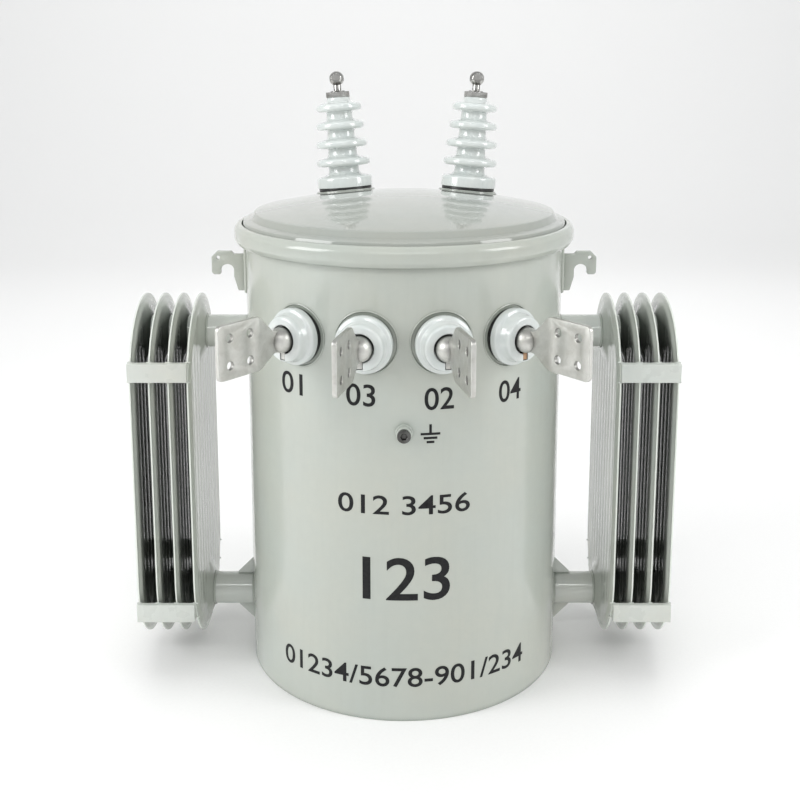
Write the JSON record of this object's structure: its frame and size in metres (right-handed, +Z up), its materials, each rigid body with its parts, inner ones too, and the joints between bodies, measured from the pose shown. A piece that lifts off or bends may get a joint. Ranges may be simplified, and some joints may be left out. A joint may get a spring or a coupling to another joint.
{
  "type": "pole-mounted distribution transformer",
  "caption": "Round oil-filled distribution transformer with a domed banded cover, porcelain bushings, spade terminals, side radiator banks, lifting hooks and rear pole hangers.",
  "frame": {"origin": "centre of the tank's base plate, on the surface that the tank stands on", "axes": "+Z up along the tank's axis; -Y towards the front, where the low-voltage terminals are; +X towards the right-hand radiators"},
  "size_m": [0.986, 0.8164, 1.1],
  "materials": {
    "tank_paint": "glossy light grey-green enamel",
    "fin_paint": "glossy light grey-green enamel",
    "porcelain": "glazed pale grey",
    "terminal_metal": "cast, tinned, satin",
    "bright_metal": "turned, bright",
    "gasket_rubber": "matte black",
    "copper": "enamelled copper winding",
    "core_steel": "laminated core steel",
    "nameplate_metal": "blank etched plate",
    "spring_steel": "spring wire"
  },
  "bodies": {
    "tank": {"core": "core_steel", "core_clamps": "core_steel", "cover": "tank_paint", "cover_band": "tank_paint", "cover_band_bolt": "bright_metal", "cover_gasket": "gasket_rubber", "ground_boss": "tank_paint", "hanger_lower": "tank_paint", "hanger_upper": "tank_paint", "header_gussets": "fin_paint", "hv_caps": "bright_metal", "hv_collars": "tank_paint", "hv_gaskets": "gasket_rubber", "hv_leads": "copper", "hv_lower_nuts": "bright_metal", "hv_porcelain_left": "porcelain", "hv_porcelain_right": "porcelain", "hv_terminal_left": "bright_metal", "hv_terminal_right": "bright_metal", "hv_winding": "copper", "lifting_hook_left": "tank_paint", "lifting_hook_right": "tank_paint", "lifting_pads": "tank_paint", "lv_gaskets": "gasket_rubber", "lv_inner_nuts": "bright_metal", "lv_leads": "copper", "lv_porcelain_1": "porcelain", "lv_porcelain_2": "porcelain", "lv_porcelain_3": "porcelain", "lv_porcelain_4": "porcelain", "lv_terminal_1": "terminal_metal", "lv_terminal_2": "terminal_metal", "lv_terminal_3": "terminal_metal", "lv_terminal_4": "terminal_metal", "lv_winding": "copper", "nameplate": "nameplate_metal", "radiator_fin_left_1": "fin_paint", "radiator_fin_left_2": "fin_paint", "radiator_fin_left_3": "fin_paint", "radiator_fin_left_4": "fin_paint", "radiator_fin_right_1": "fin_paint", "radiator_fin_right_2": "fin_paint", "radiator_fin_right_3": "fin_paint", "radiator_fin_right_4": "fin_paint", "radiator_header_left_high": "fin_paint", "radiator_header_left_low": "fin_paint", "radiator_header_right_high": "fin_paint", "radiator_header_right_low": "fin_paint", "radiator_straps_left": "fin_paint", "radiator_straps_right": "fin_paint", "relief_valve_body": "bright_metal", "relief_valve_spring": "spring_steel", "tank_base": "tank_paint", "tank_shell": "tank_paint", "tie_rods": "bright_metal"},
    "ground_screw": {"ground_screw": "bright_metal"},
    "relief_stem": {"relief_valve_stem": "bright_metal"},
    "relief_ring": {"relief_pull_ring": "bright_metal"},
    "clamp_screw_left": {"hv_clamp_screw_left": "bright_metal"},
    "clamp_screw_right": {"hv_clamp_screw_right": "bright_metal"}
  },
  "joints": [
    {"name": "clamp_screw_left_turn_in", "type": "slide", "parent": "tank", "child": "clamp_screw_left", "axis": [0.0054, 0.9976, -0.0696], "range_m": [-0.006, 0.005]},
    {"name": "clamp_screw_right_turn_in", "type": "slide", "parent": "tank", "child": "clamp_screw_right", "axis": [-0.0054, 0.9976, -0.0696], "range_m": [-0.006, 0.005]},
    {"name": "ground_screw_slide", "type": "slide", "parent": "tank", "child": "ground_screw", "axis": [0, -1, 0], "range_m": [0, 0.01]},
    {"name": "relief_pull", "type": "slide", "parent": "tank", "child": "relief_stem", "axis": [0.6428, 0.766, 0], "range_m": [0, 0.005], "stiffness_N_per_m": 1200, "springref_m": -0.004},
    {"name": "relief_ring_swing", "type": "hinge", "parent": "relief_stem", "child": "relief_ring", "pos_m": [0.21212, 0.25279, 0.745], "axis": [0.766, -0.6428, 0], "range_deg": [0, 85]}
  ]
}
